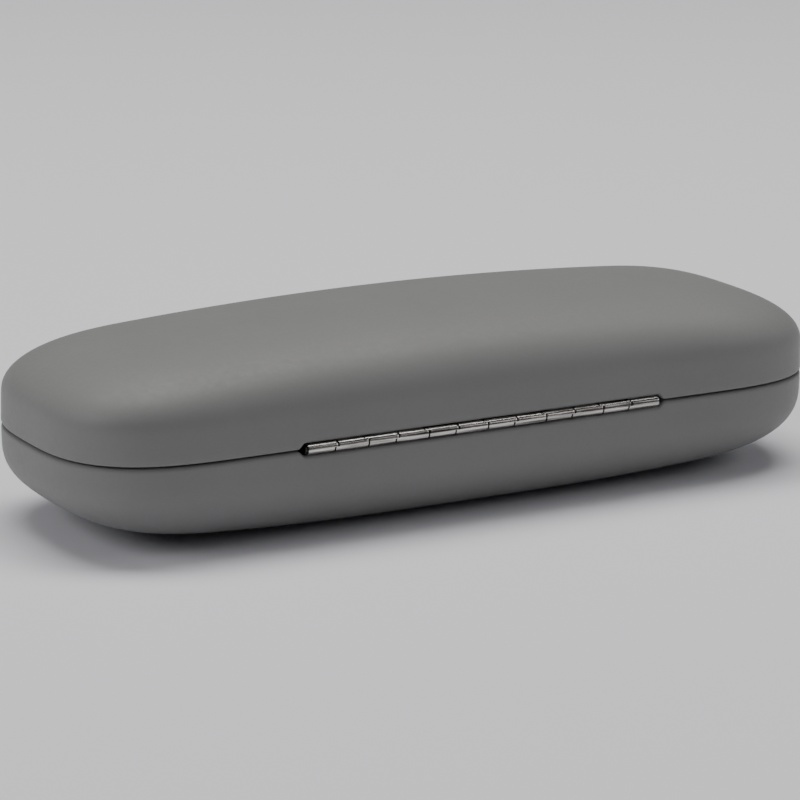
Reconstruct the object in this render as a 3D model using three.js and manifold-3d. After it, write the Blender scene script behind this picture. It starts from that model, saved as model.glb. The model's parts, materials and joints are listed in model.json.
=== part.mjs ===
// A hard clamshell eyeglasses case: two wrapped steel shells, padded and lined, on a piano hinge.
// Millimetres, +Z up. X runs along the case, +Y points to the hinge side, and Z starts at the resting face.
import * as THREE from 'three';
import { mergeVertices } from 'three/addons/utils/BufferGeometryUtils.js';
import Module from 'manifold-3d';

const wasm = await Module();
wasm.setup();

// Driving dimensions
const CASE_LENGTH = 160;
const CASE_WIDTH = 56;
const BASE_DEPTH = 18; // from the resting face up to the parting plane
const LID_RISE = 19.3; // from the parting plane up to the crown
const STRAIGHT_SIDE = 100; // the long sides are straight over this length
const OUTLINE_POWER = 3; // squareness of the rounded ends, seen from above
const RIM_GAP = 0.3; // between the closed rims
const DRAFT = 0.02; // how much the walls lean in, per millimetre of height

// Layers, as depths below the outer surface
const WRAP = { outside: 0, inside: 0.8 };
const SHELL = { outside: 0.85, inside: 1.25 };
const TURN_IN = { outside: 1.3, inside: 2.1 }; // the wrap's edge, turned in behind the steel
const PADDING = { outside: 1.3, inside: 2.25 };
const LINING = { outside: 2.3, inside: 3.1 };

// Heights of the layers' edges, from the parting plane
const TURN_IN_HEIGHT = 2.4;
const PADDING_START = 2.75;
const SHELL_START = 1.15;
const INNER_RIM_RADIUS = 0.8;
const LOWER_LINING_LIP = -1; // stands above the parting plane and nests inside the lid
const UPPER_LINING_START = 1.5;
const LINING_EDGE_RADIUS = 0.4;

// Piano hinge
const KNUCKLES = 12;
const KNUCKLE_PITCH = 6.25;
const KNUCKLE_GAP = 0.15;
const HINGE_LENGTH = KNUCKLES * KNUCKLE_PITCH;
const AXIS_INSET = 0.45; // hinge axis below the case's rear surface
const KNUCKLE_MID_RADIUS = 0.875;
const KNUCKLE_METAL = 0.55;
const PIN_RADIUS = 0.5;
const PIN_HEAD_RADIUS = 0.62;
const PIN_HEAD = 0.4;
const PIN_OVERHANG = 0.1; // from the hinge's end to the pin's head
const LEAF = { setback: 1.2, metal: 0.5, start: 1.9, end: 5.8 }; // setback is from axis to outer face
const HOLE_Z = 3.9; // rivets and spring slots, from the parting plane
const RIVET_X = [-31.25, -6.25, 6.25, 31.25];
const RIVET = { headRadius: 1.3, headHeight: 0.6, shankRadius: 0.7, length: 1.85, clearance: 0.1 };
const SPRING_X = [18.75, -18.75];
const SPRING = { width: 12, metal: 0.4, bulge: 3.9 };
const SLOT = { width: 12.8, height: 1.6 };

// Room cut for the hinge
const WINDOW = { halfLength: 37.9, taper: 1.5, height: 1.3 }; // opening in the wrap round the knuckles
const RECESS = [-WINDOW.halfLength - WINDOW.taper, WINDOW.halfLength + WINDOW.taper]; // along X
const SHELL_RECESS = 1.45;
const LINING_NOTCH = 8.7;
const COVER = { halfLength: 39, cloth: 0.5, clearance: 0.45, middle: 21.9, fold: 22.5 };

const HALF_LENGTH = CASE_LENGTH / 2;
const HALF_WIDTH = CASE_WIDTH / 2;
const AXIS_Y = HALF_WIDTH - AXIS_INSET;
const SPINE = HALF_LENGTH - HALF_WIDTH; // half-length of the ridge that the dome closes on

// How each half is domed. crown is the dome's own height, flat is where a level face cuts it off.
const LID = {
  side: 1,
  wall: 5.7,
  crown: LID_RISE,
  flat: LID_RISE,
  acrossPower: 2.8,
  upPower: 2.3,
  endDrop: 4.8,
  dropPower: 2,
  rimRadius: 0.5,
  liningEdge: UPPER_LINING_START,
};
const BASE = {
  side: -1,
  wall: 2.8,
  crown: BASE_DEPTH + 0.6,
  flat: BASE_DEPTH,
  acrossPower: 3.3,
  upPower: 2.7,
  endDrop: 4.8,
  dropPower: 3,
  rimRadius: 0.8,
  liningEdge: LOWER_LINING_LIP,
};

// Fineness of the facets
const CORNER_STEPS = 7;
const SIDE_STEPS = 3;
const QUARTER_STEPS = CORNER_STEPS + SIDE_STEPS;
const DOME_ANGLES = [6, 14, 27, 42, 58, 76, 90];
const KNUCKLE_STEP = 30;
const ROUND_SIDES = 12;

const radians = THREE.MathUtils.degToRad;

// ---- Meshes and solids

function weld(geometry) {
  const bare = geometry.clone();
  bare.deleteAttribute('normal');
  bare.deleteAttribute('uv');
  const welded = mergeVertices(bare);
  const index = welded.index.array;
  const kept = [];
  for (let i = 0; i < index.length; i += 3) {
    const [a, b, c] = index.slice(i, i + 3);
    if (a !== b && b !== c && c !== a) {
      kept.push(a, b, c);
    }
  }
  welded.setIndex(kept);
  return welded;
}

function solidOf(geometry) {
  const welded = weld(geometry);
  const vertProperties = new Float32Array(welded.attributes.position.array);
  const triVerts = new Uint32Array(welded.index.array);
  return new wasm.Manifold(new wasm.Mesh({ numProp: 3, vertProperties, triVerts }));
}

function geometryOf(solid) {
  const { vertProperties, triVerts } = solid.getMesh();
  const geometry = new THREE.BufferGeometry();
  geometry.setAttribute('position', new THREE.BufferAttribute(vertProperties, 3));
  geometry.setIndex(new THREE.BufferAttribute(triVerts, 1));
  return geometry;
}

// Extrudes a shape drawn in (Y, Z) along X, centred on centreX.
function extrudeAlongX(shape, length, centreX = 0) {
  const geometry = new THREE.ExtrudeGeometry(shape, { depth: length, bevelEnabled: false });
  const turn = new THREE.Matrix4().makeBasis(
    new THREE.Vector3(0, 1, 0),
    new THREE.Vector3(0, 0, 1),
    new THREE.Vector3(1, 0, 0),
  );
  geometry.applyMatrix4(turn);
  geometry.translate(centreX - length / 2, 0, 0);
  return geometry;
}

// The outline of a bent strip of metal or cloth, from the path of its middle.
function stripShape(path, thickness) {
  const directions = path.slice(1).map((point, i) => point.clone().sub(path[i]).normalize());
  const offset = (side) =>
    path.map((point, i) => {
      const before = directions[Math.max(i - 1, 0)];
      const after = directions[Math.min(i, directions.length - 1)];
      const along = before.clone().add(after).normalize();
      const reach = (side * thickness) / 2 / along.dot(after);
      return new THREE.Vector2(point.x - along.y * reach, point.y + along.x * reach);
    });
  return new THREE.Shape([...offset(-1), ...offset(1).reverse()]);
}

// ---- The two shells' surfaces

function quarterPoint(step, inset) {
  const straightEnd = STRAIGHT_SIDE / 2;
  if (step > CORNER_STEPS) {
    const x = straightEnd * (1 - (step - CORNER_STEPS) / SIDE_STEPS);
    return new THREE.Vector2(x, HALF_WIDTH - inset);
  }
  const angle = (step / CORNER_STEPS) * (Math.PI / 2);
  const power = 2 / OUTLINE_POWER;
  return new THREE.Vector2(
    straightEnd + (HALF_LENGTH - inset - straightEnd) * Math.max(Math.cos(angle), 0) ** power,
    (HALF_WIDTH - inset) * Math.sin(angle) ** power,
  );
}

// One turn round the case, counter-clockwise from +X.
function outline(inset) {
  const points = [];
  for (let i = 0; i < 4 * QUARTER_STEPS; i++) {
    const quarter = Math.floor(i / QUARTER_STEPS);
    const step = i % QUARTER_STEPS;
    const point = quarterPoint(quarter % 2 === 0 ? step : QUARTER_STEPS - step, inset);
    if (quarter === 1 || quarter === 2) {
      point.x *= -1;
    }
    if (quarter > 1) {
      point.y *= -1;
    }
    points.push(point);
  }
  return points;
}

// A ring of a half: the outline drawn in towards the spine, at a height from the parting plane.
// rise runs from 0 at the wall's top to 1 at the crown, and lowers the ring towards the case's ends.
function ring(half, inset, scale, height, rise) {
  return outline(inset).map(({ x, y }) => {
    const centre = THREE.MathUtils.clamp(x, -SPINE, SPINE);
    const ringX = centre + scale * (x - centre);
    const drop = rise * half.endDrop * Math.abs(ringX / HALF_LENGTH) ** half.dropPower;
    const level = Math.min(height - drop, half.flat - inset);
    return new THREE.Vector3(ringX, scale * y, half.side * level);
  });
}

function wallRing(half, inset, height) {
  return ring(half, inset, 1 - (DRAFT * height) / HALF_WIDTH, height, 0);
}

function domeRing(half, inset, degrees) {
  const angle = radians(degrees);
  const wallScale = 1 - (DRAFT * half.wall) / HALF_WIDTH;
  const scale = wallScale * Math.max(Math.cos(angle), 0) ** (2 / half.acrossPower);
  const rise = Math.sin(angle) ** (2 / half.upPower);
  const height = half.wall + rise * (half.crown - inset - half.wall);
  return ring(half, inset, degrees === 90 ? 0 : scale, height, rise);
}

// The rings from the wall's top to the spine.
function dome(half, inset) {
  return [wallRing(half, inset, half.wall), ...DOME_ANGLES.map((angle) => domeRing(half, inset, angle))];
}

// Three rings round an edge of the given radius, from the wall at inset to the rim at height.
function roundedEdge(half, inset, height, radius, direction) {
  return [0, 45, 90].map((degrees) => {
    const angle = radians(degrees);
    const inward = direction * radius * (1 - Math.cos(angle));
    return wallRing(half, inset + inward, height + radius * (1 - Math.sin(angle)));
  });
}

// Joins rings that run from the outer spine over the rim to the inner spine. Every facet's diagonal
// falls the same way, so that the facets of neighbouring layers stay parallel.
function loft(half, rings) {
  const count = rings[0].length;
  const positions = rings.flat().flatMap((point) => point.toArray());
  const index = [];
  for (let i = 0; i + 1 < rings.length; i++) {
    const rising = Math.abs(rings[i + 1][0].z) > Math.abs(rings[i][0].z);
    for (let k = 0; k < count; k++) {
      const next = (k + 1) % count;
      const [a, b, c, d] = [i * count + k, (i + 1) * count + k, (i + 1) * count + next, i * count + next];
      const facets = rising ? [a, b, d, b, c, d] : [a, b, c, a, c, d];
      index.push(...(half.side > 0 ? facets : facets.reverse()));
    }
  }
  const geometry = new THREE.BufferGeometry();
  geometry.setAttribute('position', new THREE.Float32BufferAttribute(positions, 3));
  geometry.setIndex(index);
  return weld(geometry);
}

// ---- Layers of a half

function wrapGeometry(half) {
  const rim = RIM_GAP / 2;
  const seat = SHELL_START - 0.05;
  const rings = [
    ...dome(half, WRAP.outside).reverse(),
    ...roundedEdge(half, WRAP.outside, rim, half.rimRadius, 1),
    ...roundedEdge(half, TURN_IN.inside, rim, INNER_RIM_RADIUS, -1).reverse(),
    wallRing(half, TURN_IN.inside, TURN_IN_HEIGHT),
    wallRing(half, TURN_IN.outside, TURN_IN_HEIGHT),
    wallRing(half, TURN_IN.outside, seat),
    wallRing(half, WRAP.inside, seat),
    ...dome(half, WRAP.inside),
  ];
  const turnInLimit = HALF_WIDTH - (WRAP.inside + TURN_IN.outside) / 2;
  const recess = sideBox(half, RECESS, [HALF_WIDTH - 4, turnInLimit], [-1, TURN_IN_HEIGHT + 0.6]);
  return geometryOf(solidOf(loft(half, rings)).subtract(windowSolid(half)).subtract(recess));
}

// The opening round the knuckles: a low trapezium in (X, Z), run through the rear wall.
function windowSolid(half) {
  const wide = WINDOW.halfLength + WINDOW.taper;
  const narrow = WINDOW.halfLength;
  const corners = [
    [-wide, -1],
    [wide, -1],
    [wide, 0],
    [narrow, WINDOW.height],
    [-narrow, WINDOW.height],
    [-wide, 0],
  ];
  const shape = new THREE.Shape(corners.map(([x, z]) => new THREE.Vector2(x, half.side * z)));
  const geometry = new THREE.ExtrudeGeometry(shape, { depth: 6, bevelEnabled: false });
  geometry.rotateX(Math.PI / 2);
  geometry.translate(0, HALF_WIDTH + 2, 0);
  return solidOf(geometry);
}

// A box on the hinge side; heights run from the parting plane into the half.
function sideBox(half, [x0, x1], [y0, y1], [low, high]) {
  const geometry = new THREE.BoxGeometry(x1 - x0, y1 - y0, high - low);
  geometry.translate((x0 + x1) / 2, (y0 + y1) / 2, (half.side * (low + high)) / 2);
  return solidOf(geometry);
}

function rivetHoles(half, y) {
  const radius = RIVET.shankRadius + RIVET.clearance;
  return RIVET_X.map((x) => {
    const hole = new THREE.CylinderGeometry(radius, radius, 4, ROUND_SIDES);
    hole.translate(x, y, half.side * HOLE_Z);
    return solidOf(hole);
  });
}

function shellGeometry(half) {
  const rings = [
    ...dome(half, SHELL.outside).reverse(),
    wallRing(half, SHELL.outside, SHELL_START),
    wallRing(half, SHELL.inside, SHELL_START),
    ...dome(half, SHELL.inside),
  ];
  const recess = sideBox(half, RECESS, [HALF_WIDTH - 4, HALF_WIDTH + 1], [-1, SHELL_RECESS]);
  const cuts = [recess, ...rivetHoles(half, HALF_WIDTH)];
  return geometryOf(cuts.reduce((solid, cut) => solid.subtract(cut), solidOf(loft(half, rings))));
}

function paddingGeometry(half) {
  const rings = [
    ...dome(half, PADDING.outside).reverse(),
    wallRing(half, PADDING.outside, PADDING_START),
    wallRing(half, PADDING.inside, PADDING_START),
    ...dome(half, PADDING.inside),
  ];
  const recess = sideBox(half, RECESS, [15, HALF_WIDTH + 1], [-1, LINING_NOTCH]);
  return geometryOf(solidOf(loft(half, rings)).subtract(recess));
}

function liningGeometry(half) {
  const rings = [
    ...dome(half, LINING.outside).reverse(),
    ...roundedEdge(half, LINING.outside, half.liningEdge, LINING_EDGE_RADIUS, 1).slice(0, 2),
    ...roundedEdge(half, LINING.inside, half.liningEdge, LINING_EDGE_RADIUS, -1).reverse(),
    ...dome(half, LINING.inside),
  ];
  const notch = sideBox(half, RECESS, [15, HALF_WIDTH + 1], [-3, LINING_NOTCH]);
  return geometryOf(solidOf(loft(half, rings)).subtract(notch));
}

// ---- Hinge parts, drawn round the hinge axis

// From the plate, in to the barrel on the case's inner side, and most of a turn round the pin.
function knucklePath(half) {
  const plateY = -LEAF.setback - LEAF.metal / 2;
  const points = [
    [plateY, LEAF.start + 0.5],
    [plateY, LEAF.start - 0.1],
    [plateY + 0.35, 1],
    [-KNUCKLE_MID_RADIUS, 0.3],
  ];
  for (let angle = 180; angle <= 180 + 295; angle += KNUCKLE_STEP) {
    points.push([
      KNUCKLE_MID_RADIUS * Math.cos(radians(angle)),
      KNUCKLE_MID_RADIUS * Math.sin(radians(angle)),
    ]);
  }
  return points.map(([y, z]) => new THREE.Vector2(y, half.side * z));
}

// first is 0 for the leaf that has the knuckle at the hinge's +X end, and 1 for the other.
function leafGeometry(half, first) {
  const plateEnd = (HINGE_LENGTH - KNUCKLE_GAP) / 2;
  const faces = [-LEAF.setback - LEAF.metal, -LEAF.setback];
  let leaf = sideBox(half, [-plateEnd, plateEnd], faces, [LEAF.start, LEAF.end]);
  const curl = stripShape(knucklePath(half), KNUCKLE_METAL);
  for (let i = first; i < KNUCKLES; i += 2) {
    const x = HINGE_LENGTH / 2 - (i + 0.5) * KNUCKLE_PITCH;
    leaf = leaf.add(solidOf(extrudeAlongX(curl, KNUCKLE_PITCH - KNUCKLE_GAP, x)));
  }
  for (const hole of rivetHoles(half, -LEAF.setback)) {
    leaf = leaf.subtract(hole);
  }
  for (const x of SPRING_X) {
    const slotX = [x - SLOT.width / 2, x + SLOT.width / 2];
    const slotZ = [HOLE_Z - SLOT.height / 2, HOLE_Z + SLOT.height / 2];
    leaf = leaf.subtract(sideBox(half, slotX, [faces[0] - 1, faces[1] + 1], slotZ));
  }
  return geometryOf(leaf);
}

function pinGeometry() {
  const headStart = HINGE_LENGTH / 2 + PIN_OVERHANG;
  const end = headStart + PIN_HEAD;
  const profile = [
    [0, -end],
    [PIN_HEAD_RADIUS * 0.7, -end],
    [PIN_HEAD_RADIUS, -headStart - 0.15],
    [PIN_HEAD_RADIUS, -headStart],
    [PIN_RADIUS, -headStart],
    [PIN_RADIUS, headStart],
    [PIN_HEAD_RADIUS, headStart],
    [PIN_HEAD_RADIUS, headStart + 0.15],
    [PIN_HEAD_RADIUS * 0.7, end],
    [0, end],
  ];
  return latheGeometry(profile);
}

function rivetGeometry() {
  const { headRadius, headHeight, shankRadius, length } = RIVET;
  return latheGeometry([
    [0, 0],
    [headRadius * 0.6, 0.08],
    [headRadius * 0.92, headHeight * 0.5],
    [headRadius, headHeight],
    [shankRadius, headHeight],
    [shankRadius, length],
    [0, length],
  ]);
}

function latheGeometry(profile) {
  const points = profile.map(([radius, along]) => new THREE.Vector2(radius, along));
  return weld(new THREE.LatheGeometry(points, ROUND_SIDES));
}

// A flat strip bent to a C, with both ends turned out into the leaves' slots.
function springGeometry() {
  const slotY = -LEAF.setback - LEAF.metal / 2 - 0.1;
  const path = [
    [slotY, -HOLE_Z],
    [-2.4, -HOLE_Z],
    [-3.3, -HOLE_Z + 0.7],
    [-SPRING.bulge + 0.1, -1.6],
    [-SPRING.bulge, 0],
    [-SPRING.bulge + 0.1, 1.6],
    [-3.3, HOLE_Z - 0.7],
    [-2.4, HOLE_Z],
    [slotY, HOLE_Z],
  ];
  const middle = path.map(([y, z]) => new THREE.Vector2(y, z));
  return weld(extrudeAlongX(stripShape(middle, SPRING.metal), SPRING.width));
}

// A strip of lining across the hinge, from one half's lining to the other's, with a little slack.
function coverGeometry() {
  const depth = LINING.inside + COVER.clearance + COVER.cloth / 2;
  const anchor = (half, angle) => {
    const point = domeRing(half, depth, angle)[QUARTER_STEPS];
    return new THREE.Vector2(point.y, point.z);
  };
  const path = [
    anchor(BASE, 27),
    new THREE.Vector2(COVER.middle, -4),
    new THREE.Vector2(COVER.fold, 0),
    new THREE.Vector2(COVER.middle, 4),
    anchor(LID, 27),
  ];
  const curve = new THREE.SplineCurve(path);
  return weld(extrudeAlongX(stripShape(curve.getPoints(12), COVER.cloth), 2 * COVER.halfLength));
}

// ---- Materials

function material(color, roughness, metalness) {
  return new THREE.MeshStandardMaterial({ color, roughness, metalness });
}

const softTouchGrey = () => material(0x7d7d7b, 0.7, 0);
const coatedSteel = () => material(0x6e7174, 0.5, 0.9);
const nickelSteel = () => material(0x9a9a98, 0.35, 1);
const springSteel = () => material(0x5a5f68, 0.35, 1);
const foam = () => material(0xd8d4c8, 0.95, 0);
const microfibre = () => material(0x2b2c2f, 0.95, 0);

// ---- Assembly

function part(name, geometry, finish) {
  const mesh = new THREE.Mesh(geometry, finish);
  mesh.name = name;
  return mesh;
}

function buildHalf(half, prefix) {
  const group = new THREE.Group();
  group.add(part(`${prefix}_wrap`, wrapGeometry(half), softTouchGrey()));
  group.add(part(`${prefix}_shell`, shellGeometry(half), coatedSteel()));
  group.add(part(`${prefix}_padding`, paddingGeometry(half), foam()));
  group.add(part(`${prefix}_lining`, liningGeometry(half), microfibre()));
  return group;
}

function buildHingeSide(half, prefix, first) {
  const group = new THREE.Group();
  group.position.y = AXIS_Y;
  group.add(part(`${prefix}_leaf`, leafGeometry(half, first), nickelSteel()));
  const headY = -LEAF.setback - LEAF.metal - RIVET.clearance - RIVET.headHeight;
  RIVET_X.forEach((x, i) => {
    const rivet = part(`${prefix}_rivet_${i + 1}`, rivetGeometry(), nickelSteel());
    rivet.position.set(x, headY, half.side * HOLE_Z);
    group.add(rivet);
  });
  return group;
}

const base = buildHalf(BASE, 'lower');
const baseHinge = buildHingeSide(BASE, 'lower', 0);
const pin = part('hinge_pin', pinGeometry(), nickelSteel());
pin.rotation.z = -Math.PI / 2;
baseHinge.add(pin);
SPRING_X.forEach((x, i) => {
  const spring = part(`snap_spring_${i + 1}`, springGeometry(), springSteel());
  spring.position.x = x;
  baseHinge.add(spring);
});
base.add(baseHinge);
base.add(part('hinge_cover', coverGeometry(), microfibre()));

const lid = buildHalf(LID, 'upper');
lid.add(buildHingeSide(LID, 'upper', 1));

const eyeglassesCase = new THREE.Group();
eyeglassesCase.add(base, lid);
eyeglassesCase.position.z = BASE_DEPTH;

export default eyeglassesCase;
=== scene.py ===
"""A hard clamshell eyeglasses case: matte soft-touch wrap over steel shells, lined, on a piano hinge.

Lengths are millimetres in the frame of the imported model, and every mesh is turned into metres as it is made.
"""

import json
import math
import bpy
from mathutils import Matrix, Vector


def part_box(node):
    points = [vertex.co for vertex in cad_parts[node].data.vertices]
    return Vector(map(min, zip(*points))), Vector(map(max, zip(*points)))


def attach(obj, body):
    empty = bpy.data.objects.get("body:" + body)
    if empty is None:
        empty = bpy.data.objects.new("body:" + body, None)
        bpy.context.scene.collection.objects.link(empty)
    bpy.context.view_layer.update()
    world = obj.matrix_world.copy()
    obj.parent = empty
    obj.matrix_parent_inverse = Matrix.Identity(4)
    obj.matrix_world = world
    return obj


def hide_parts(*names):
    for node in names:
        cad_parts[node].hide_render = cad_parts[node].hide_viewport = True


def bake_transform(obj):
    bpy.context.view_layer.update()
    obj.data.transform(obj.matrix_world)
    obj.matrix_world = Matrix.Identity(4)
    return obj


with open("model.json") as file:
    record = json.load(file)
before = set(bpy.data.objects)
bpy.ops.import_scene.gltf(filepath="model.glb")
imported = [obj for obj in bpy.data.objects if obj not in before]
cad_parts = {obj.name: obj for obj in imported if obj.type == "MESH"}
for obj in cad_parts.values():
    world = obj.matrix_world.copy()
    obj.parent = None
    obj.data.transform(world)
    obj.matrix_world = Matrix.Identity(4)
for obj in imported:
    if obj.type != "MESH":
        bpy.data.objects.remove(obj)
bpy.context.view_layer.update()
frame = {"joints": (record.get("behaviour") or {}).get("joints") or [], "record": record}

from types import SimpleNamespace

import bmesh
import bpy
import numpy as np
from mathutils import Matrix, Vector

MM = 0.001

# ---- Sizes that the frame gives

JOINT = frame["joints"][0]
AXIS_Y, PARTING_Z = (value / MM for value in JOINT["pos_m"][1:])
BASE_BOX = [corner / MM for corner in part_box("lower_wrap")]
LID_BOX = [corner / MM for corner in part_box("upper_wrap")]
HALF_LENGTH = BASE_BOX[1].x
HALF_WIDTH = BASE_BOX[1].y
BASE_DEPTH = PARTING_Z - BASE_BOX[0].z
LID_RISE = LID_BOX[1].z - PARTING_Z
LEAF_BOX = [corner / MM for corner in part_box("upper_leaf")]
RIVETS = 4  # on each leaf
RIVET_CENTRES = {
    side: [sum(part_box(f"{side}_rivet_{i + 1}"), Vector()) / (2 * MM) for i in range(RIVETS)]
    for side in ("lower", "upper")
}
SPRINGS = 2
SPRING_BOXES = [[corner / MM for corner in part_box(f"snap_spring_{i + 1}")] for i in range(SPRINGS)]

# ---- Sizes of the shells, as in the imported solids

STRAIGHT = 50  # half-length of the straight sides
OUTLINE_POWER = 3
DRAFT = 0.02  # how far the sides lean inwards per millimetre of height
SPINE = HALF_LENGTH - HALF_WIDTH
RIM = 0.15  # from the parting plane to each rim
WRAP = (0, 0.8)  # depths of a layer's two faces below the outer surface
SHELL = (0.85, 1.25)
TURN_IN = (1.3, 2.1)  # the wrap's edge, folded back inside the steel's edge
PADDING = (1.3, 2.25)
LINING = (2.3, 3.1)
TURN_IN_HEIGHT = 2.4  # this and the next two are heights from the parting plane
SHELL_START = 1.15
PADDING_START = 2.75
STEEL_EDGE_GAP = 0.05  # between the steel's edge and the fold of the wrap round it
INNER_RIM_RADIUS = 0.8
LINING_EDGE_RADIUS = 0.4
FLAT_CUT = 0.6  # how much of the base's dome its flat bottom takes off
FLAT_BLEND = 0.3  # how softly the dome runs into its flat face

# wall is the height of the straight side and crown that of the dome's top, across and up are the powers of
# the dome's section, and drop and drop_power say how far the dome's spine falls towards the ends.
BASE = SimpleNamespace(
    name="lower", body="base", side=-1, wall=2.8, crown=BASE_DEPTH + FLAT_CUT, flat=BASE_DEPTH,
    across=3.3, up=2.7, drop=4.8, drop_power=3, rim_radius=0.8, lining_edge=-1,
)
LID = SimpleNamespace(
    name="upper", body="lid", side=1, wall=5.7, crown=LID_RISE, flat=None,
    across=2.8, up=2.3, drop=4.8, drop_power=2, rim_radius=0.5, lining_edge=1.5,
)

# ---- Room for the hinge, on the +Y side

WINDOW = (37.55, 39.1)  # the wraps' opening is full height up to the first |x| and gone at the second
WINDOW_RIM = 1.12  # from the parting plane to the wraps' rims beside the knuckles
WINDOW_RADIUS = 0.8
WINDOW_TURN_IN = 1.5  # depth of the folded edge's inner face
WINDOW_INNER_RADIUS = 0.5
WINDOW_TURN_IN_HEIGHT = 2.9
WINDOW_SHELL_START = 2.15
NOTCH = (38.6, 39.5)  # the padding and the lining are cut away up to these |x|
NOTCH_DEPTH = 8.7

# ---- Piano hinge

KNUCKLES = 12
KNUCKLE_GAP = 0.15  # between the solids' knuckles
SEAM_GAP = 0.32  # the rolled knuckles' rounded ends leave more room than the solids' plain ones
HINGE_HALF = LEAF_BOX[1].x + KNUCKLE_GAP / 2
PITCH = 2 * HINGE_HALF / KNUCKLES
METAL = 0.4  # thickness of a leaf
BARREL_MIDDLE = 0.8  # radius of the middle of the rolled metal
PLATE_Y = -1.45  # middle of a leaf's plate, from the axis
PLATE_END = LEAF_BOX[1].z - PARTING_Z
ROOT_Z = 1.95  # where the knuckles' strips leave the plate
BEND_HEIGHTS = (1.75, 0.85, 0.08)  # where a strip leans outwards, stands up again and starts to curl
BEND_RADIUS = 0.5
PLATE_CELLS = 3  # rows of the plate: above, beside and below the slots
HOLE_Z = RIVET_CENTRES["upper"][0].z - PARTING_Z
HOLE_RADIUS = 0.8
HOLE_TOOL_HALF = 2  # half-length of the cylinder that cuts a hole
SHELL_HOLE_DEPTH = 1  # middle of that cylinder, below the wrap's surface
SLOT_HALF = (6.4, 0.8)  # half-width and half-height
CURL_END = 295  # degrees that a knuckle turns round the pin
STRAIGHT_SEAM_JOG = 0.65  # how far each seam steps along the barrel
HOOK_SEAM_JOG = 0.75
STRAIGHT_SEAM_ANGLE = 3  # where round the barrel each seam steps, in degrees from outboard up
HOOK_SEAM_ANGLE = 51
RELIEF_ANGLE = -71  # below this the lid's knuckles are narrow, so that they pass the base's when open
JOG_ANGLES = {
    "lower": [180 - HOOK_SEAM_ANGLE, 180 - STRAIGHT_SEAM_ANGLE],
    "upper": [180 + RELIEF_ANGLE, 180 + STRAIGHT_SEAM_ANGLE, 180 + HOOK_SEAM_ANGLE],
}
JOG = 3  # degrees that a step takes
KNUCKLE_EDGE = 0.25  # the mesh's last column of a knuckle, so that only its end is shaded round
LEAF_EDGE = 0.1  # bevel
PIN_RADIUS = 0.5
PIN_HEAD = (0.58, 0.25)  # radius and length
PIN_HEAD_SINK = 0.05  # from the hinge's end in to the head's flat back
PIN_HEAD_EDGE = 0.04  # chamfer of the head's back
PIN_HEAD_RIM = 0.2  # share of the head's length that lies behind its dome
RIVET_HEAD = 0.6  # height
RIVET_DOME = 0.85  # share of the head's height that is domed
RIVET_HEAD_EDGE = (0.05, 0.04)  # chamfer of the head's back, across and along
RIVET_SHANK = 0.7  # radius
RIVET_TIP = 0.1  # chamfer of the shank's end
QUARTER_TURN = [math.radians(angle) for angle in range(0, 91, 10)]

# ---- Snap springs and the lining strip over the hinge

SPRING_X = [(low.x + high.x) / 2 for low, high in SPRING_BOXES]
SPRING_WIDTH = SPRING_BOXES[0][1].x - SPRING_BOXES[0][0].x
SPRING_METAL = 0.4
SPRING_TIP_Y = PLATE_Y - 0.1
SPRING_KNEE_Y = -2.75
SPRING_BULGE = 3.85
SPRING_BACK_HALF = 2.2  # half-height of its straight back
SPRING_BEND_RADIUS = 0.9
SPRING_TIP_TAPER = 0.5
SPRING_COLUMNS = 9
SPRING_EDGE = 0.06  # bevel
COVER_HALF = 39.1
COVER_FULL = 27  # the strip stands clear of the hinge up to this |x|
COVER_REACH = 12  # along the surface, each way from the parting plane
COVER_CLOTH = 0.5
COVER_GAP = 0.12
COVER_BULGE = 2.2
COVER_SLACK = (4.5, 9.5)  # the bulge is full up to the first length each way, and gone at the second
COVER_CREASE = (0.35, 1.3)  # depth and half-width of the fold along its middle
COVER_RIPPLES = [(0.16, 0.61, 0.35, 0), (0.1, 1.13, -0.5, 1)]  # depth, radians per mm along and up, phase
COVER_POINTS = (131, 53)  # along and up
COVER_EDGE = 0.15  # bevel

# ---- Cloth as cut, in metres: width and length, and the area inside its rounded outline

BASE.skin_cut = {"flat": (0.086, 0.190), "area": 0.0130}
LID.skin_cut = {"flat": (0.088, 0.190), "area": 0.0132}
BASE.lining_cut = {"flat": (0.076, 0.178), "area": 0.0105}
LID.lining_cut = {"flat": (0.072, 0.176), "area": 0.0100}

# ---- Camera and light

CAMERA_AZIMUTH = 150.77
CAMERA_ELEVATION = 14.48
CAMERA_ROLL = 0.33
CAMERA_DISTANCE = 686
CAMERA_LENS = 162
CAMERA_SENSOR = 36
CAMERA_CLIP = (0.05, 50)  # metres
CAMERA_ASIDE = (2.41, 1.58)  # how far the case's middle stands right of and above the view's middle
FLOOR_Z = -0.02  # just clear of the flat bottom
FLOOR_HALF = 9000
FLOOR_COLOUR = (0.85, 0.85, 0.895)
WORLD_COLOUR = (0.95, 0.95, 1.0)
WORLD_STRENGTH = 0.09
SOFTBOXES = [  # name, azimuth, elevation, distance in metres, size in metres, power, colour
    ("top", 330, 77, 1.4, (1.4, 0.5), 17.8, (1, 0.997, 0.97)),
    ("left", 85, 32, 1.5, (1.0, 0.7), 6.0, (1, 0.995, 1)),
    ("right", 240, 32, 1.5, (1.0, 0.6), 2.9, (1, 0.995, 1)),
    ("strip", 150, 27, 1.6, (2.0, 0.2), 0.55, (1, 1, 1)),
]

# ---- Fineness of the meshes

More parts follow.
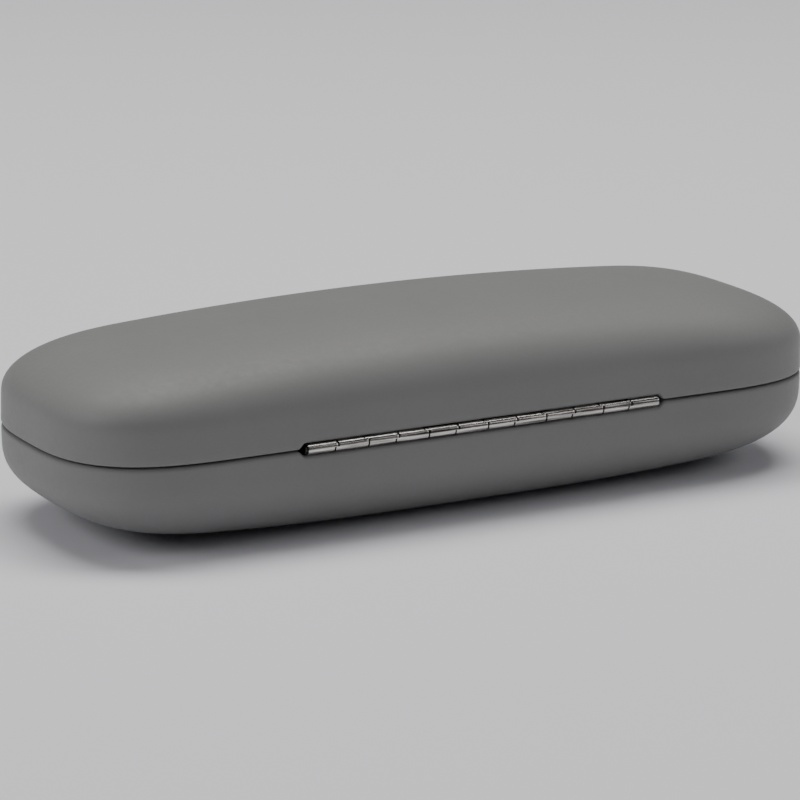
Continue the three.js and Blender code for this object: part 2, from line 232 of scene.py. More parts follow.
MERGE_DISTANCE = 0.0008
SHARP_ANGLE = 35  # degrees: steeper edges are shaded sharp
BEVEL_ANGLE = 40  # degrees: steeper edges are bevelled
BEVEL_STEPS = 2
OUTLINE_SAMPLES = 4000
DOME_SAMPLES = 1500
SIDE_RUNS = ((48, 41, -1.5), (41, 36, -0.25), (36, 0, -2))  # |x| from, to and step, fine at the hinge's ends
CORNER_STEPS = 30
FACE_RINGS = 38
EDGE_RINGS = 6
TURN_STEPS = 32
CURL_STEP = 10


# ---- Mesh helpers

def smoothstep(low, high, value):
    t = np.clip((value - low) / (high - low), 0, 1)
    return t * t * (3 - 2 * t)


def mesh_object(name, points, faces):
    """A mesh from points in millimetres, merged, tidied and shaded smooth up to an angle."""
    mesh = bpy.data.meshes.new(name)
    mesh.from_pydata([tuple(p) for p in np.asarray(points) * MM], [], [tuple(map(int, f)) for f in faces])
    tidy = bmesh.new()
    tidy.from_mesh(mesh)
    bmesh.ops.remove_doubles(tidy, verts=tidy.verts, dist=MERGE_DISTANCE * MM)
    bmesh.ops.delete(tidy, geom=[v for v in tidy.verts if not v.link_faces], context="VERTS")
    bmesh.ops.recalc_face_normals(tidy, faces=tidy.faces)
    tidy.to_mesh(mesh)
    tidy.free()
    shade(mesh)
    piece = bpy.data.objects.new(name, mesh)
    bpy.context.scene.collection.objects.link(piece)
    return piece


def shade(mesh):
    mesh.shade_smooth()
    mesh.set_sharp_from_angle(angle=math.radians(SHARP_ANGLE))


def apply_modifiers(piece):
    evaluated = piece.evaluated_get(bpy.context.evaluated_depsgraph_get())
    mesh = bpy.data.meshes.new_from_object(evaluated)
    piece.modifiers.clear()
    piece.data = mesh
    shade(mesh)


def cut(piece, cutters):
    """Cuts closed shapes out of a piece and removes them."""
    for cutter in cutters:
        modifier = piece.modifiers.new("cut", "BOOLEAN")
        modifier.operation = "DIFFERENCE"
        modifier.solver = "EXACT"
        modifier.object = cutter
    bpy.context.view_layer.update()
    apply_modifiers(piece)
    for cutter in cutters:
        bpy.data.objects.remove(cutter)


def bevel(piece, width):
    modifier = piece.modifiers.new("bevel", "BEVEL")
    modifier.width = width * MM
    modifier.segments = BEVEL_STEPS
    modifier.limit_method = "ANGLE"
    modifier.angle_limit = math.radians(BEVEL_ANGLE)
    bpy.context.view_layer.update()
    apply_modifiers(piece)


def lathe(name, line, centre, axis):
    """Turns a line of (radius, distance along the axis) round an axis through a centre."""
    along = Vector(axis).normalized()
    side = along.orthogonal().normalized()
    other = along.cross(side)
    points, faces = [], []
    for radius, distance in line:
        for k in range(TURN_STEPS):
            angle = 2 * math.pi * k / TURN_STEPS
            spoke = side * math.cos(angle) + other * math.sin(angle)
            points.append(Vector(centre) + along * distance + spoke * radius)
    for i in range(len(line) - 1):
        here, ahead = i * TURN_STEPS, (i + 1) * TURN_STEPS
        for k in range(TURN_STEPS):
            n = (k + 1) % TURN_STEPS
            faces.append((here + k, here + n, ahead + n, ahead + k))
    return mesh_object(name, points, faces)


def thick_grid(name, outer, inner, solid=None):
    """A bent sheet between two grids of points. solid says which cells of the grid hold material."""
    rows, columns = outer.shape[:2]
    if solid is None:
        solid = np.ones((rows - 1, columns - 1), bool)
    framed = np.pad(solid, 1)
    top = np.arange(rows * columns).reshape(rows, columns)
    under = top + rows * columns
    faces = []
    for r, c in zip(*np.nonzero(solid)):
        corners = [(r, c), (r, c + 1), (r + 1, c + 1), (r + 1, c)]
        faces.append([top[k] for k in corners])
        faces.append([under[k] for k in reversed(corners)])
        beyond = [framed[r, c + 1], framed[r + 1, c + 2], framed[r + 2, c + 1], framed[r + 1, c]]
        for k in range(4):
            if not beyond[k]:
                a, b = corners[k], corners[(k + 1) % 4]
                faces.append([top[b], top[a], under[a], under[b]])
    return mesh_object(name, np.concatenate([outer.reshape(-1, 3), inner.reshape(-1, 3)]), faces)


def rounded_path(corners, radius, steps=6):
    """A path through corners in (y, z), with an arc of the radius at each corner between its ends."""
    path = [np.array(corners[0], float)]
    for before, corner, after in zip(corners, corners[1:], corners[2:]):
        corner = np.array(corner, float)
        back, ahead = np.array(before) - corner, np.array(after) - corner
        back, ahead = back / np.linalg.norm(back), ahead / np.linalg.norm(ahead)
        half_turn = math.acos(np.clip(back @ ahead, -1, 1)) / 2
        reach = radius / math.tan(half_turn)
        centre = corner + (back + ahead) / np.linalg.norm(back + ahead) * radius / math.sin(half_turn)
        start, end = corner + back * reach - centre, corner + ahead * reach - centre
        sweep = math.pi - 2 * half_turn
        for i in range(steps + 1):
            t = i / steps
            spoke = start * math.sin((1 - t) * sweep) + end * math.sin(t * sweep)
            path.append(centre + spoke / math.sin(sweep))
    path.append(np.array(corners[-1], float))
    return np.array(path)


def path_normals(path):
    """Unit vectors square to a path, at each of its points."""
    steps = np.diff(path, axis=0)
    steps /= np.linalg.norm(steps, axis=1)[:, None]
    along = np.concatenate([steps[:1], steps[:-1] + steps[1:], steps[-1:]])
    along /= np.linalg.norm(along, axis=1)[:, None]
    return np.stack([-along[:, 1], along[:, 0]], axis=1)


# ---- The two shells' surfaces

def quarter():
    """Stations from the +X tip to the middle of the +Y side: a fixed x, and shares of the rounded end."""
    fine = np.linspace(0, math.pi / 2, OUTLINE_SAMPLES)
    share_x, share_y = np.cos(fine) ** (2 / OUTLINE_POWER), np.sin(fine) ** (2 / OUTLINE_POWER)
    steps = np.hypot(np.diff(share_x) * (HALF_LENGTH - STRAIGHT), np.diff(share_y) * HALF_WIDTH)
    length = np.concatenate([[0], np.cumsum(steps)])
    at = np.linspace(0, length[-1], CORNER_STEPS + 1)
    share_x, share_y = np.interp(at, length, share_x), np.interp(at, length, share_y)
    share_x[-1] = 0
    side = np.concatenate([*(np.arange(*run) for run in SIDE_RUNS), [0]])
    fixed = np.concatenate([np.full(CORNER_STEPS + 1, STRAIGHT), side])
    none, whole = np.zeros(len(side)), np.ones(len(side))
    return fixed, np.concatenate([share_x, none]), np.concatenate([share_y, whole])


def stations():
    """One turn round the case, counter-clockwise from +X, as signed stations."""
    fixed, share_x, share_y = quarter()
    out = []
    for number in range(4):
        sign_x = 1 if number in (0, 3) else -1
        sign_y = 1 if number < 2 else -1
        order = slice(None, -1) if number % 2 == 0 else slice(None, 0, -1)
        out.append(np.stack([sign_x * fixed[order], sign_x * share_x[order], sign_y * share_y[order]]))
    return np.concatenate(out, axis=1)


STATION_X, SHARE_X, SHARE_Y = stations()


def outline(inset):
    """The stations' x and y, at an inset from the widest outline."""
    x = STATION_X + (HALF_LENGTH - inset - STRAIGHT) * SHARE_X
    return x, (HALF_WIDTH - inset) * SHARE_Y


def hinge_share(limits):
    """1 beside the hinge, 0 elsewhere, easing between the two limits of |x|."""
    x, y = outline(0)
    return np.where(y > HALF_WIDTH / 2, 1 - smoothstep(*limits, np.abs(x)), 0)


def soft_lower(a, b):
    """The lower of two heights, rounded where they cross."""
    near = np.clip(FLAT_BLEND - np.abs(a - b), 0, None)
    return np.minimum(a, b) - near**2 / (4 * FLAT_BLEND)


def ring(half, inset, scale, height, rise):
    """The outline drawn in towards the spine, at a height from the parting plane."""
    x, y = outline(inset)
    centre = np.clip(x, -SPINE, SPINE)
    ring_x = centre + scale * (x - centre)
    drop = rise * half.drop * np.abs(ring_x / HALF_LENGTH) ** half.drop_power
    level = height - drop if half.flat is None else soft_lower(height - drop, half.flat - inset)
    return np.stack([ring_x, scale * y, PARTING_Z + half.side * level], axis=-1)


def wall_ring(half, inset, height):
    """A ring on the straight, slightly drafted side."""
    return ring(half, inset, 1 - DRAFT * height / HALF_WIDTH, height, 0)


def profile(half, inset):
    """Tables of length along the wall and dome from the parting plane, with scale, height and rise."""
    angle = np.linspace(0, 1, DOME_SAMPLES) ** 1.5 * math.pi / 2
    wall_scale = 1 - DRAFT * half.wall / HALF_WIDTH
    rise = np.sin(angle) ** (2 / half.up)
    scale = wall_scale * np.clip(np.cos(angle), 0, None) ** (2 / half.across)
    height = half.wall + rise * (half.crown - inset - half.wall)
    scale[-1] = 0
    scale, rise = np.concatenate([[1], scale]), np.concatenate([[0], rise])
    height = np.concatenate([[0], height])
    steps = np.hypot(np.diff(scale) * (HALF_WIDTH - inset), np.diff(height))
    return np.concatenate([[0], np.cumsum(steps)]), scale, height, rise


def face_rings(half, inset, start, count=FACE_RINGS):
    """Rings from a start height at each station to the spine, evenly spaced along the surface."""
    length, scale, height, rise = profile(half, inset)
    first = np.where(start < 0, start, np.interp(start, height, length))
    rings = []
    for share in np.linspace(0, 1, count + 1):
        at = first + (length[-1] - first) * share
        level = np.where(at < 0, at, np.interp(at, length, height))
        narrow = np.where(at < 0, 1 - DRAFT * at / HALF_WIDTH, np.interp(at, length, scale))
        rings.append(ring(half, inset, narrow, level, np.interp(at, length, rise)))
    return rings


def edge_rings(half, inset, height, radius, sign):
    """A quarter round from the face at an inset to the edge at a height: inwards where sign is 1."""
    rings = []
    for share in np.linspace(0, 1, EDGE_RINGS + 1):
        angle = share * math.pi / 2
        inward = sign * radius * (1 - math.cos(angle))
        rings.append(wall_ring(half, inset + inward, height + radius * (1 - math.sin(angle))))
    return rings


def loft(name, rings):
    """A closed skin through rings, of which the first and the last lie folded on the spine."""
    points = np.stack(rings)
    count = points.shape[1]
    index = np.arange(points.shape[0] * count).reshape(-1, count)
    ahead = np.roll(index, -1, axis=1)
    faces = np.stack([index[:-1], ahead[:-1], ahead[1:], index[1:]], axis=-1).reshape(-1, 4)
    return mesh_object(name, points.reshape(-1, 3), faces)


def mix(ends, share):
    """The value that lies a share of the way between two."""
    return ends[0] + (ends[1] - ends[0]) * share


# ---- Layers

def build_wrap(half):
    """Outer face, round the rim, and back up behind the steel's edge."""
    share = hinge_share(WINDOW)
    rim = mix((RIM, WINDOW_RIM), share)
    outer_radius = mix((half.rim_radius, WINDOW_RADIUS), share)
    inner_radius = mix((INNER_RIM_RADIUS, WINDOW_INNER_RADIUS), share)
    inside = mix((TURN_IN[1], WINDOW_TURN_IN), share)
    turned = mix((TURN_IN_HEIGHT, WINDOW_TURN_IN_HEIGHT), share)
    seat = mix((SHELL_START, WINDOW_SHELL_START), share) - STEEL_EDGE_GAP
    rings = [
        *reversed(face_rings(half, WRAP[0], rim + outer_radius)),
        *edge_rings(half, WRAP[0], rim, outer_radius, 1)[1:],
        *reversed(edge_rings(half, inside, rim, inner_radius, -1)),
        wall_ring(half, inside, turned),
        wall_ring(half, TURN_IN[0], turned),
        wall_ring(half, TURN_IN[0], seat),
        *face_rings(half, WRAP[1], seat),
    ]
    return loft(f"{half.name}_wrap_skin", rings)


def build_shell(half):
    """Pressed sheet steel with holes for the hinge's rivets."""
    start = mix((SHELL_START, WINDOW_SHELL_START), hinge_share(WINDOW))
    rings = [*reversed(face_rings(half, SHELL[0], start)), *face_rings(half, SHELL[1], start)]
    piece = loft(f"{half.name}_steel", rings)
    cut(piece, rivet_hole_cutters(half, HALF_WIDTH - SHELL_HOLE_DEPTH))
    return piece


def build_padding(half):
    """Thin foam between the steel and the lining, cut away behind the hinge."""
    start = mix((PADDING_START, NOTCH_DEPTH), hinge_share(NOTCH))
    rings = [*reversed(face_rings(half, PADDING[0], start)), *face_rings(half, PADDING[1], start)]
    return loft(f"{half.name}_foam", rings)


def build_lining(half):
    """The lining, with a rounded free edge and a cut-out behind the hinge."""
    edge = mix((half.lining_edge, NOTCH_DEPTH), hinge_share(NOTCH))
    radius = LINING_EDGE_RADIUS
    middle = (LINING[0] + LINING[1]) / 2
    outer = face_rings(half, LINING[0], edge + radius)
    inner = face_rings(half, LINING[1], edge + radius)
    angles = np.linspace(0, 1, EDGE_RINGS + 1)[1:-1] * math.pi
    rounding = [edge_point_ring(half, middle, edge, radius, angle) for angle in angles]
    return loft(f"{half.name}_cloth", [*reversed(outer), *rounding, *inner])


def edge_point_ring(half, middle, edge, radius, angle):
    """A ring round a layer's free edge: 0 is the layer's outer face and pi its inner face."""
    inset = middle - radius * math.cos(angle)
    level = edge + radius * (1 - math.sin(angle))
    return face_rings(half, inset, level, 1)[0]


# ---- Hinge

def rivet_hole_cutters(half, y):
    """Cylinders along Y whose middles are at a y, one for each of a half's rivets."""
    reach = HOLE_TOOL_HALF
    line = [(0, -reach), (HOLE_RADIUS, -reach), (HOLE_RADIUS, reach), (0, reach)]
    centres = [(rivet.x, y, rivet.z) for rivet in RIVET_CENTRES[half.name]]
    return [lathe("cutter", line, centre, (0, 1, 0)) for centre in centres]


def leaf_path(half):
    """The leaf's middle line in (y, height) from the axis, and how far round the pin each point is."""
    lean, stand, curl_start = BEND_HEIGHTS
    corners = [(PLATE_Y, ROOT_Z), (PLATE_Y, lean), (-BARREL_MIDDLE, stand), (-BARREL_MIDDLE, curl_start)]
    bend = rounded_path(corners, BEND_RADIUS)
    plate = [(PLATE_Y, z) for z in (PLATE_END, HOLE_Z + SLOT_HALF[1], HOLE_Z - SLOT_HALF[1], ROOT_Z)]
    turned = set(range(0, CURL_END + 1, CURL_STEP))
    for angle in JOG_ANGLES[half.name]:
        turned |= {angle - JOG / 2, angle + JOG / 2}
    turned = np.array(sorted(turned), float)
    round_pin = np.radians(turned + 180)
    curl = BARREL_MIDDLE * np.stack([np.cos(round_pin), np.sin(round_pin)], axis=1)
    path = np.concatenate([plate, bend[1:], curl])
    before = np.full(len(path) - len(curl), -1.0)
    return path, np.concatenate([before, turned])


def knuckle_ends(number, turned):
    """The two ends in x of a knuckle, where its strip has turned so many degrees; below 0 is its root."""
    high = HINGE_HALF - number * PITCH
    low = high - PITCH
    if number % 2:
        angle = turned - 180
        wide = angle > RELIEF_ANGLE
        high += STRAIGHT_SEAM_JOG if wide and angle < STRAIGHT_SEAM_ANGLE else 0
        low += HOOK_SEAM_JOG if number < KNUCKLES - 1 and not (wide and angle < HOOK_SEAM_ANGLE) else 0
    else:
        angle = 180 - turned
        wide = turned >= 0
        high += HOOK_SEAM_JOG if number and wide and angle > HOOK_SEAM_ANGLE else 0
        low += 0 if wide and angle > STRAIGHT_SEAM_ANGLE else STRAIGHT_SEAM_JOG
    return low + SEAM_GAP / 2, high - SEAM_GAP / 2


def build_leaf(half):
    """A stamped comb, rolled round the pin, with two spring slots and four rivet holes."""
    path, turned = leaf_path(half)
    numbers = range(1 if half.side > 0 else 0, KNUCKLES, 2)
    roots = [knuckle_ends(n, -1) for n in numbers]
    slots = [(middle - SLOT_HALF[0], middle + SLOT_HALF[0]) for middle in SPRING_X]
    ends = HINGE_HALF - SEAM_GAP / 2
    inner = [x for low, high in roots for x in (low + KNUCKLE_EDGE, high - KNUCKLE_EDGE)]
    columns = np.unique(np.round([-ends, ends, *np.ravel(roots), *inner, *np.ravel(slots)], 4))
    middles = (columns[1:] + columns[:-1]) / 2
    x = np.tile(columns, (len(path), 1))
    solid = np.zeros((len(path) - 1, len(middles)), bool)
    solid[:PLATE_CELLS] = True
    for low, high in slots:
        solid[1] &= (middles < low) | (middles > high)
    for n, (low, high) in zip(numbers, roots):
        here = (columns > low - MERGE_DISTANCE) & (columns < high + MERGE_DISTANCE)
        solid[PLATE_CELLS:, (middles > low) & (middles < high)] = True
        for r in range(PLATE_CELLS + 1, len(path)):
            left, right = knuckle_ends(n, turned[r])
            flat = (low, low + KNUCKLE_EDGE, high - KNUCKLE_EDGE, high)
            moved = (left, left + KNUCKLE_EDGE, right - KNUCKLE_EDGE, right)
            x[r, here] = np.interp(columns[here], flat, moved)
    piece = thick_grid(f"{half.name}_hinge_leaf", *strip_faces(path, METAL, x, half.side), solid)
    bevel(piece, LEAF_EDGE)
    cut(piece, rivet_hole_cutters(half, AXIS_Y + PLATE_Y))
    return piece


def strip_faces(path, thickness, x, side=1):
    """The two faces of a strip bent along a path of (y, height) from the axis, for a grid of x."""
    faces = []
    for offset in (thickness / 2, -thickness / 2):
        line = path + path_normals(path) * offset
        y = np.broadcast_to(AXIS_Y + line[:, :1], x.shape)
        z = np.broadcast_to(PARTING_Z + side * line[:, 1:], x.shape)
        faces.append(np.stack([x, y, z], axis=-1))
    return faces


def build_pin():
    """A wire with both ends peened to a low dome."""
    radius, length = PIN_HEAD
    back = HINGE_HALF - PIN_HEAD_SINK
    rim = back + length * PIN_HEAD_RIM
    dome = length * (1 - PIN_HEAD_RIM)
    end = [(radius * math.sin(a), rim + dome * math.cos(a)) for a in QUARTER_TURN]
    end += [(radius, back + PIN_HEAD_EDGE), (radius - PIN_HEAD_EDGE, back), (PIN_RADIUS, back)]
    line = [(r, -distance) for r, distance in end] + end[::-1]
    return lathe("pin_wire", line, (0, AXIS_Y, PARTING_Z), (1, 0, 0))


def build_rivet(half, number):
    """A low domed head inside the case, and a shank through the leaf and the steel."""
    low, high = (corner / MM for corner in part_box(f"{half.name}_rivet_{number + 1}"))
    centre = RIVET_CENTRES[half.name][number]
    radius = (high.x - low.x) / 2
    dome = [(radius * math.sin(a), RIVET_HEAD * (1 - math.cos(a)) * RIVET_DOME) for a in QUARTER_TURN]
    length = high.y - low.y
    shank = [
        (radius, RIVET_HEAD - RIVET_HEAD_EDGE[1]),
        (radius - RIVET_HEAD_EDGE[0], RIVET_HEAD),
        (RIVET_SHANK, RIVET_HEAD),
        (RIVET_SHANK, length - RIVET_TIP),
        (RIVET_SHANK - RIVET_TIP, length),
        (0, length),
    ]
    name = f"{half.name}_rivet_head_{number + 1}"
    return lathe(name, dome + shank, (centre.x, low.y, centre.z), (0, 1, 0))


def build_spring(number):
    """A flat strip bent to a C, hooked into a slot of each leaf."""
    lower = [(SPRING_TIP_Y, -HOLE_Z), (SPRING_KNEE_Y, -HOLE_Z), (-SPRING_BULGE, -SPRING_BACK_HALF)]
    upper = [(y, -height) for y, height in reversed(lower)]
    path = rounded_path(lower + upper, SPRING_BEND_RADIUS, 8)
    half_width = np.full(len(path), SPRING_WIDTH / 2)
    half_width[[0, -1]] -= SPRING_TIP_TAPER
    x = SPRING_X[number] + half_width[:, None] * np.linspace(-1, 1, SPRING_COLUMNS)
    piece = thick_grid(f"spring_strip_{number + 1}", *strip_faces(path, SPRING_METAL, x))
    bevel(piece, SPRING_EDGE)
    return piece


# ---- Lining strip over the hinge

def side_line(half, inset, x, length):
    """Points of a half's surface on the hinge side, at lengths up from the parting plane."""
    table, scale, height, rise = profile(half, inset)
    lift = np.interp(length, table, rise)
    level = np.interp(length, table, height) - lift * half.drop * np.abs(x / HALF_LENGTH) ** half.drop_power
    y = (HALF_WIDTH - inset) * np.interp(length, table, scale)
    return np.stack([x, y, PARTING_Z + half.side * level], axis=-1)


def build_cover():
    """Cloth that lies on both linings and stands clear of the hinge between them, with soft folds."""
    columns, rows = COVER_POINTS
    x, length = np.meshgrid(
        np.linspace(-COVER_HALF, COVER_HALF, columns),
        np.linspace(-COVER_REACH, COVER_REACH, rows),
    )
    depth = LINING[1] + COVER_GAP + COVER_CLOTH / 2
    middle = np.where(
        (length < 0)[..., None],
        side_line(BASE, depth, x, np.abs(length)),
        side_line(LID, depth, x, np.abs(length)),
    )
    slack = 1 - smoothstep(COVER_FULL, COVER_HALF, np.abs(x))
    slack *= 1 - smoothstep(*COVER_SLACK, np.abs(length))
    fold_depth, fold_width = COVER_CREASE
    crease = fold_depth * np.exp(-((length / fold_width) ** 2))
    ripple = sum(high * np.sin(x * along + length * up + phase) for high, along, up, phase in COVER_RIPPLES)
    middle[..., 1] -= slack * (COVER_BULGE - crease + ripple)
    normal = np.cross(np.gradient(middle, axis=0), np.gradient(middle, axis=1))
    normal /= np.linalg.norm(normal, axis=-1)[..., None]
    lift = normal * COVER_CLOTH / 2
    piece = thick_grid("hinge_cover_cloth", middle + lift, middle - lift)
    bevel(piece, COVER_EDGE)
    return piece


# ---- Materials

RECORD_COLOURS = {entry["slot"]: entry["base_color"] for entry in frame["record"]["materials"]}
NOISE_SPAN = (0.3, 0.7)


def new_material(name, **sockets):
    """A material with values for its shader's sockets, where _ stands for a space."""
    material = bpy.data.materials.new(name)
    material.use_nodes = True
    tree = material.node_tree
    shader = tree.nodes["Principled BSDF"]
    for socket, value in sockets.items():
        shader.inputs[socket.replace("_", " ")].default_value = value
    return material, tree, shader


def node(tree, kind, inputs=(), **settings):
    """A new node, with its inputs linked where they are sockets and set where they are values."""
    made = tree.nodes.new(kind)
    for key, value in settings.items():
        setattr(made, key, value)
    for key, value in dict(inputs).items():
        if isinstance(value, bpy.types.NodeSocket):
            tree.links.new(value, made.inputs[key])
        else:
            made.inputs[key].default_value = value
    return made


def coordinates(tree, stretch=(1, 1, 1)):
    """The piece's own coordinates in metres, times a stretch."""
    source = node(tree, "ShaderNodeTexCoord").outputs["Object"]
    return node(tree, "ShaderNodeMapping", {"Vector": source, "Scale": stretch}).outputs[0]


def noise(tree, vector, scale, detail, roughness=0.5):
    inputs = {"Vector": vector, "Scale": scale, "Detail": detail, "Roughness": roughness}
    return node(tree, "ShaderNodeTexNoise", inputs).outputs["Fac"]


def average(tree, first, second):
    total = node(tree, "ShaderNodeMath", {0: first, 1: second}, operation="ADD").outputs[0]
    return node(tree, "ShaderNodeMath", {0: total, 1: 0.5}, operation="MULTIPLY").outputs[0]


def between(tree, factor, low, high):
    """A number that runs between two values as a factor crosses the span where most noise lies."""
    start, end = NOISE_SPAN
    inputs = {"Value": factor, "From Min": start, "From Max": end, "To Min": low, "To Max": high}
    return node(tree, "ShaderNodeMapRange", inputs).outputs[0]


def tinted(tree, factor, colour, low, high):
    """A colour times a share that runs between two values as a factor crosses the same span."""
    ends = [tuple(c * share for c in colour) + (1,) for share in (low, high)]
    ramp = node(tree, "ShaderNodeValToRGB", {"Fac": factor})
    for element, position, end in zip(ramp.color_ramp.elements, NOISE_SPAN, ends):
        element.position = position
        element.color = end
    return ramp.outputs["Color"]


def bumped(tree, shader, height, depth, strength=1.0, under=None):
    """Bump of a depth in millimetres, over another bump where one is given."""
    inputs = {"Height": height, "Distance": depth * MM, "Strength": strength}
    if under is not None:
        inputs["Normal"] = under
    normal = node(tree, "ShaderNodeBump", inputs).outputs[0]
    tree.links.new(normal, shader.inputs["Normal"])
    return normal


def soft_touch():
    """Rubbery polyurethane leathercloth: a faint pebble, slightly uneven in tone and gloss."""
    material, tree, shader = new_material("soft_touch_wrap", Sheen_Weight=0.06, Sheen_Roughness=0.5)
    point = coordinates(tree)
    cloud = noise(tree, point, scale=45, detail=4)
    speck = noise(tree, point, scale=2600, detail=3, roughness=0.7)
    tone = tinted(tree, average(tree, cloud, speck), RECORD_COLOURS["wrap"], low=0.95, high=1.05)
    tree.links.new(tone, shader.inputs["Base Color"])
    gloss = between(tree, noise(tree, point, scale=900, detail=2), low=0.52, high=0.62)
    tree.links.new(gloss, shader.inputs["Roughness"])
    cells = node(tree, "ShaderNodeTexVoronoi", {"Vector": point, "Scale": 2200}, feature="SMOOTH_F1")
    pebble = bumped(tree, shader, cells.outputs["Distance"], depth=0.012, strength=0.5)
    grain = noise(tree, point, scale=5200, detail=3)
    bumped(tree, shader, grain, depth=0.008, strength=0.5, under=pebble)
    return material


def brushed_metal(name, slot, rough, streaks, depth=0.006, tones=(0.82, 1.16), tint=(1, 1, 1)):
    """Metal with fine lines drawn along X."""
    colour = [value * share for value, share in zip(RECORD_COLOURS[slot], tint)]
    material, tree, shader = new_material(name, Metallic=1.0)
    lines = noise(tree, coordinates(tree, stretch=(1, 30, 30)), scale=streaks, detail=4, roughness=0.65)
    tree.links.new(tinted(tree, lines, colour, *tones), shader.inputs["Base Color"])
    gloss = between(tree, lines, low=rough - 0.07, high=rough + 0.09)
    tree.links.new(gloss, shader.inputs["Roughness"])
    bumped(tree, shader, lines, depth)
    return material


def foam():
    """Open cells, a little yellowed."""
    material, tree, shader = new_material("open_cell_foam", Roughness=0.95)
    point = coordinates(tree)
    cells = node(tree, "ShaderNodeTexVoronoi", {"Vector": point, "Scale": 1800}).outputs["Distance"]
    tone = tinted(tree, cells, RECORD_COLOURS["padding"], low=0.75, high=1.05)
    tree.links.new(tone, shader.inputs["Base Color"])
    bumped(tree, shader, cells, depth=0.2)
    return material


def microfibre():
    """Brushed cloth: a short nap that lies in soft patches."""
    material, tree, shader = new_material("microfibre_lining", Sheen_Weight=0.8, Sheen_Roughness=0.4)
    shader.inputs["Sheen Tint"].default_value = (0.55, 0.56, 0.6, 1)
    patches = noise(tree, coordinates(tree), scale=70, detail=5, roughness=0.6)
    stretched = coordinates(tree, stretch=(1, 1.6, 1.6))
    fibres = noise(tree, stretched, scale=3200, detail=3, roughness=0.7)
    tone = tinted(tree, average(tree, patches, fibres), RECORD_COLOURS["lining"], low=0.6, high=1.5)
    tree.links.new(tone, shader.inputs["Base Color"])
    tree.links.new(between(tree, patches, low=0.85, high=0.98), shader.inputs["Roughness"])
    bumped(tree, shader, fibres, depth=0.06)
    return material


# ---- Camera, floor and light

def aim(thing, stand, target, roll=0.0):
    """Stands a camera or a light somewhere, turned towards a target, with a roll in degrees."""
    back = (Vector(stand) - Vector(target)).normalized()
    right = Vector((0, 0, 1)).cross(back).normalized()
    up = back.cross(right)
    turn = math.radians(roll)
    rolled_right = right * math.cos(turn) + up * math.sin(turn)
    rolled_up = up * math.cos(turn) - right * math.sin(turn)
    axes = Matrix((rolled_right, rolled_up, back)).transposed().to_4x4()
    thing.matrix_world = Matrix.Translation(stand) @ axes


def direction(azimuth, elevation):
    """Towards a place in the view's own angles: azimuth 0 is at -Y, and 90 at +X."""
    a, e = math.radians(azimuth), math.radians(elevation)
    return Vector((math.sin(a) * math.cos(e), -math.cos(a) * math.cos(e), math.sin(e)))


def build_camera():
    """Looks at the hinge side from the +X end, a little above."""
    camera = bpy.data.objects.new("camera", bpy.data.cameras.new("camera"))
    bpy.context.scene.collection.objects.link(camera)
    bpy.context.scene.camera = camera
    camera.data.sensor_width = CAMERA_SENSOR
    camera.data.lens = CAMERA_LENS
    camera.data.clip_start, camera.data.clip_end = CAMERA_CLIP
    back = direction(CAMERA_AZIMUTH, CAMERA_ELEVATION)
    right = Vector((0, 0, 1)).cross(back).normalized()
    up = back.cross(right)
    target = Vector((0, 0, PARTING_Z)) - right * CAMERA_ASIDE[0] - up * CAMERA_ASIDE[1]
    aim(camera, (target + back * CAMERA_DISTANCE) * MM, target * MM, CAMERA_ROLL)


def softbox(name, azimuth, elevation, distance, size, power, colour):
    light = bpy.data.objects.new(name, bpy.data.lights.new(name, "AREA"))
    bpy.context.scene.collection.objects.link(light)
    light.data.shape = "RECTANGLE"
    light.data.size, light.data.size_y = size
    light.data.energy = power
    light.data.color = colour
    aim(light, direction(azimuth, elevation) * distance, (0, 0, 0))


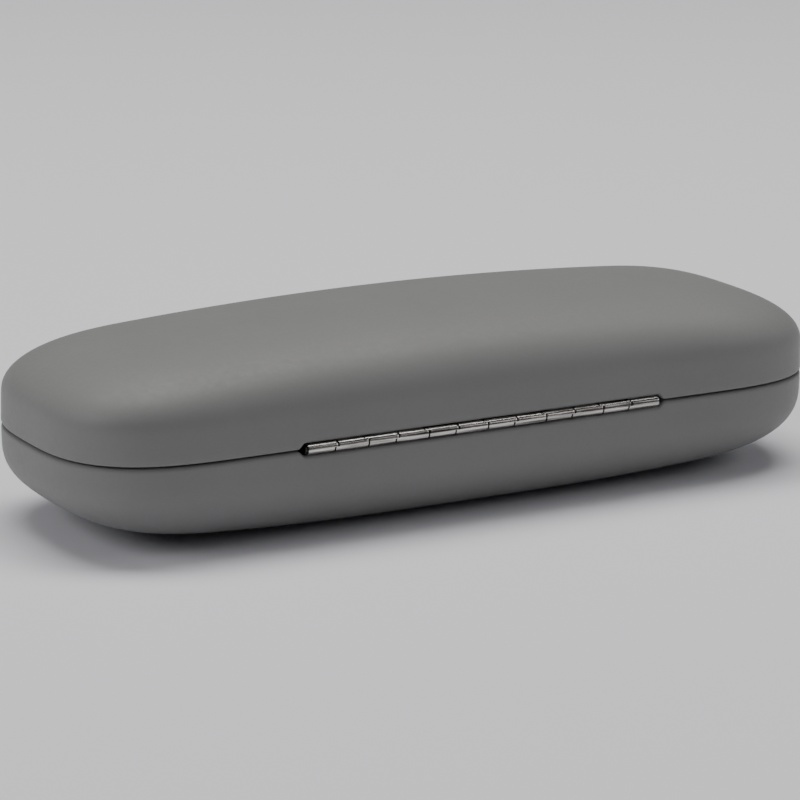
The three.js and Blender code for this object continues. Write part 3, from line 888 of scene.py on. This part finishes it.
def build_stage():
    """A plain floor, an even backdrop and the softboxes."""
    signs = ((-1, -1), (1, -1), (1, 1), (-1, 1))
    corners = [(x * FLOOR_HALF, y * FLOOR_HALF, FLOOR_Z) for x, y in signs]
    floor = mesh_object("floor", corners, [(0, 1, 2, 3)])
    material, _, _ = new_material("pale_floor", Roughness=0.9, Base_Color=(*FLOOR_COLOUR, 1))
    floor.data.materials.append(material)
    world = bpy.data.worlds.new("studio")
    bpy.context.scene.world = world
    world.use_nodes = True
    backdrop = world.node_tree.nodes["Background"]
    backdrop.inputs["Color"].default_value = (*WORLD_COLOUR, 1)
    backdrop.inputs["Strength"].default_value = WORLD_STRENGTH
    for light in SOFTBOXES:
        softbox(*light)


# ---- The whole case

def place(piece, body, replaced, material):
    """Gives a piece its material, hides the node that it replaces and, if it is rigid, hangs it on its body.
    """
    piece.data.materials.clear()
    piece.data.materials.append(material)
    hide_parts(replaced)
    if body:
        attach(piece, body)
    return piece


def build_case():
    wrap, lining, padding = soft_touch(), microfibre(), foam()
    nickel = brushed_metal("satin_nickel", "hinge_metal", 0.22, 85, 0.018, (0.05, 1.8), (1.06, 1, 0.98))
    pin_steel = brushed_metal("pin_steel", "hinge_metal", 0.4, 110, tones=(0.15, 0.4))
    steel = brushed_metal("sheet_steel", "shell_steel", 0.45, 250)
    spring_steel = brushed_metal("blued_spring", "spring_steel", 0.3, 400)
    for half in (BASE, LID):
        skin = place(build_wrap(half), half.body, f"{half.name}_wrap", wrap)
        place(build_shell(half), half.body, f"{half.name}_shell", steel)
        pad = place(build_padding(half), half.body, f"{half.name}_padding", padding)
        cloth = place(build_lining(half), half.body, f"{half.name}_lining", lining)
        place(build_leaf(half), half.body, f"{half.name}_leaf", nickel)
        for i in range(RIVETS):
            place(build_rivet(half, i), half.body, f"{half.name}_rivet_{i + 1}", nickel)
    place(build_pin(), "base", "hinge_pin", pin_steel)
    for i in range(SPRINGS):
        spring = place(build_spring(i), None, f"snap_spring_{i + 1}", spring_steel)
        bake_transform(spring)
    cover = place(build_cover(), None, "hinge_cover", lining)
    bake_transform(cover)


build_camera()
build_stage()
build_case()
